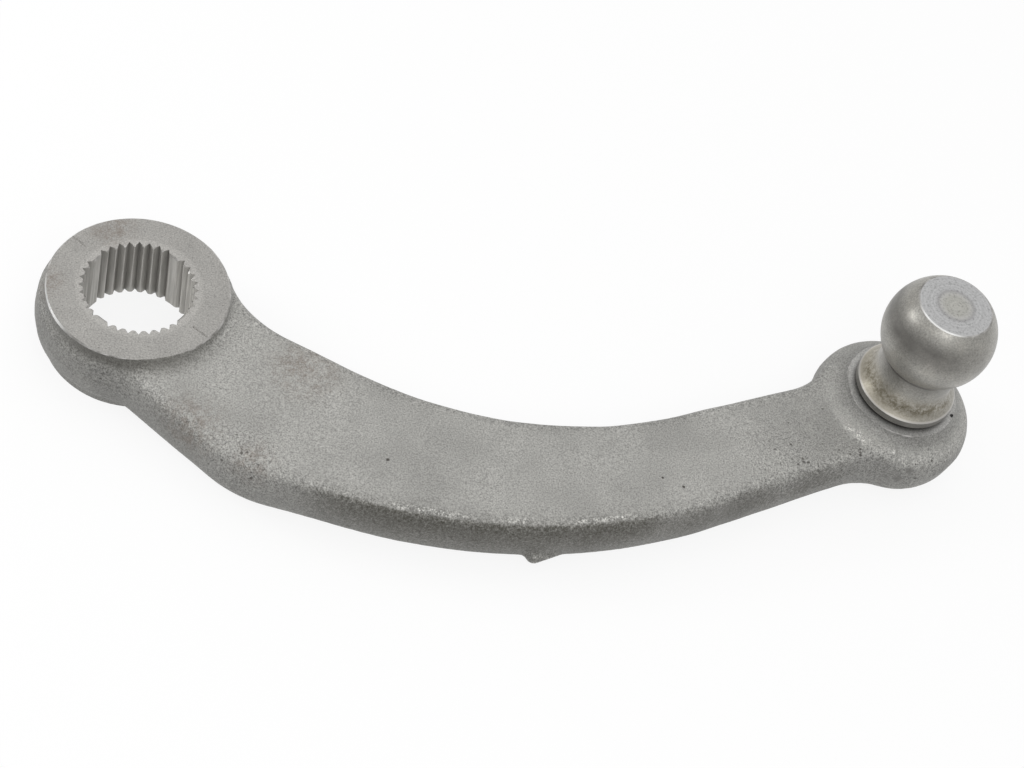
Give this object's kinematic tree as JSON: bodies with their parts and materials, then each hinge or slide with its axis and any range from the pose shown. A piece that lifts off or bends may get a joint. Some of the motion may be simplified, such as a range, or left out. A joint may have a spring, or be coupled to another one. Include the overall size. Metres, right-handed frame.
{
  "type": "pitman arm",
  "caption": "Bent drop-forged steering arm with a tapered serrated hub at one end and a ball stud riveted upright into an eye at the other.",
  "frame": {"origin": "on the serration axis of the hub, in the forging's parting plane, halfway between the hub's two machined faces", "axes": "+X from the hub to the ball stud, +Z along both the serration axis and the stud, towards the ball; the arm bows towards -Y"},
  "size_m": [0.2537, 0.0848, 0.0573],
  "materials": {
    "forged_steel": "bare drop-forged steel, shot-blasted to a fine matt grain, hub faces and spot faces machined",
    "turned_steel": "turned and ground steel with a satin sheen, brown heat tint on the flare below the ball"
  },
  "bodies": {
    "root": {"arm_forging": "forged_steel", "ball_stud": "turned_steel"}
  },
  "joints": []
}
